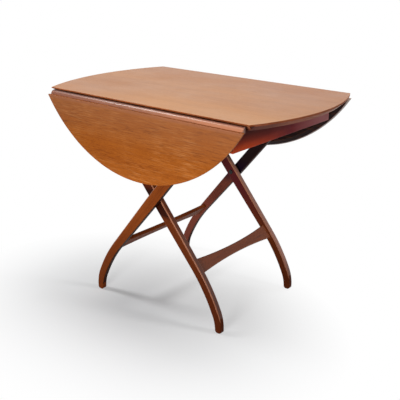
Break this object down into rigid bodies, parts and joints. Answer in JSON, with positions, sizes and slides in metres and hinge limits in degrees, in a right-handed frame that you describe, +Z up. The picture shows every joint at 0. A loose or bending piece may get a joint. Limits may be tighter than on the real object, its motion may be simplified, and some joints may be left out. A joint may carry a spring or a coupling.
{
  "type": "butterfly folding table",
  "caption": "Wooden folding table with a bow-ended centre board, two drop leaves on rule joints and a pair of crossed, bent leg frames that scissor closed.",
  "frame": {"origin": "on the floor, under the centre of the table", "axes": "+X along the hinge lines, +Y across the leaves, +Z up"},
  "size_m": [0.945, 0.589, 0.72],
  "materials": {
    "teak_top": "satin, straight grain along the hinge lines",
    "teak_leaf": "satin, straight grain along the hinge lines",
    "teak_frame": "satin, dark red-brown",
    "hidden_wood": "sawn, plain",
    "hinge_brass": "satin",
    "zinc_steel": "dull zinc",
    "black_nylon": "matt"
  },
  "bodies": {
    "top": {"centre_panel": "teak_top", "near_side_rail": "teak_frame", "far_side_rail": "teak_frame", "left_end_rail": "teak_frame", "right_end_rail": "teak_frame", "corner_blocks": "hidden_wood", "crossbar_runners": "hidden_wood", "crossbar_stop": "hidden_wood", "panel_hinge_flaps": "hinge_brass", "panel_hinge_screws": "zinc_steel", "hinge_pins": "hinge_brass", "rail_brackets": "zinc_steel", "rail_bracket_screws": "zinc_steel", "top_pivot_bolts": "zinc_steel", "top_pivot_inserts": "hinge_brass", "top_pivot_washers": "black_nylon"},
    "near_leaf": {"near_leaf_board": "teak_leaf", "near_leaf_hinge_flaps": "hinge_brass", "near_leaf_hinge_screws": "zinc_steel", "near_leaf_brackets": "zinc_steel", "near_leaf_bracket_screws": "zinc_steel"},
    "far_leaf": {"far_leaf_board": "teak_leaf", "far_leaf_hinge_flaps": "hinge_brass", "far_leaf_hinge_screws": "zinc_steel", "far_leaf_brackets": "zinc_steel", "far_leaf_bracket_screws": "zinc_steel"},
    "near_long_stays": {"near_stay_long_arms": "zinc_steel"},
    "near_short_stays": {"near_stay_short_arms": "zinc_steel"},
    "far_long_stays": {"far_stay_long_arms": "zinc_steel"},
    "far_short_stays": {"far_stay_short_arms": "zinc_steel"},
    "outer_frame": {"near_outer_leg": "teak_frame", "far_outer_leg": "teak_frame", "outer_stretcher": "teak_frame", "outer_dowels": "hidden_wood", "scissor_bolts": "zinc_steel", "scissor_inserts": "hinge_brass", "scissor_spacers": "black_nylon"},
    "inner_frame": {"near_inner_leg": "teak_frame", "far_inner_leg": "teak_frame", "inner_stretcher": "teak_frame", "inner_dowels": "hidden_wood", "top_crossbar": "teak_frame"}
  },
  "joints": [
    {"name": "legs_fold", "type": "hinge", "parent": "top", "child": "outer_frame", "pos_m": [0.243, 0, 0.678], "axis": [0, -1, 0], "range_deg": [0, 35.5]},
    {"name": "scissor", "type": "hinge", "parent": "outer_frame", "child": "inner_frame", "pos_m": [0, 0, 0.391], "axis": [0, 1, 0], "range_deg": [0, 71]},
    {"name": "near_leaf_hinge", "type": "hinge", "parent": "top", "child": "near_leaf", "pos_m": [0, -0.2745, 0.7], "axis": [-1, 0, 0], "range_deg": [0, 90]},
    {"name": "far_leaf_hinge", "type": "hinge", "parent": "top", "child": "far_leaf", "pos_m": [0, 0.2745, 0.7], "axis": [1, 0, 0], "range_deg": [0, 90]},
    {"name": "near_rail_stay", "type": "hinge", "parent": "top", "child": "near_long_stays", "pos_m": [0, -0.267, 0.638], "axis": [-1, 0, 0], "range_deg": [0, 114.89]},
    {"name": "near_leaf_stay", "type": "hinge", "parent": "near_leaf", "child": "near_short_stays", "pos_m": [0, -0.267, 0.59], "axis": [-1, 0, 0], "range_deg": [-155.13, 0]},
    {"name": "far_rail_stay", "type": "hinge", "parent": "top", "child": "far_long_stays", "pos_m": [0, 0.267, 0.638], "axis": [1, 0, 0], "range_deg": [0, 114.89]},
    {"name": "far_leaf_stay", "type": "hinge", "parent": "far_leaf", "child": "far_short_stays", "pos_m": [0, 0.267, 0.59], "axis": [1, 0, 0], "range_deg": [-155.13, 0]}
  ],
  "couplings": [
    {"joint": "scissor", "follows": "legs_fold", "ratio": 2},
    {"joint": "near_rail_stay", "follows": "near_leaf_hinge", "ratio": 1.2765},
    {"joint": "near_leaf_stay", "follows": "near_leaf_hinge", "ratio": -1.7235},
    {"joint": "far_rail_stay", "follows": "far_leaf_hinge", "ratio": 1.2765},
    {"joint": "far_leaf_stay", "follows": "far_leaf_hinge", "ratio": -1.7235}
  ]
}
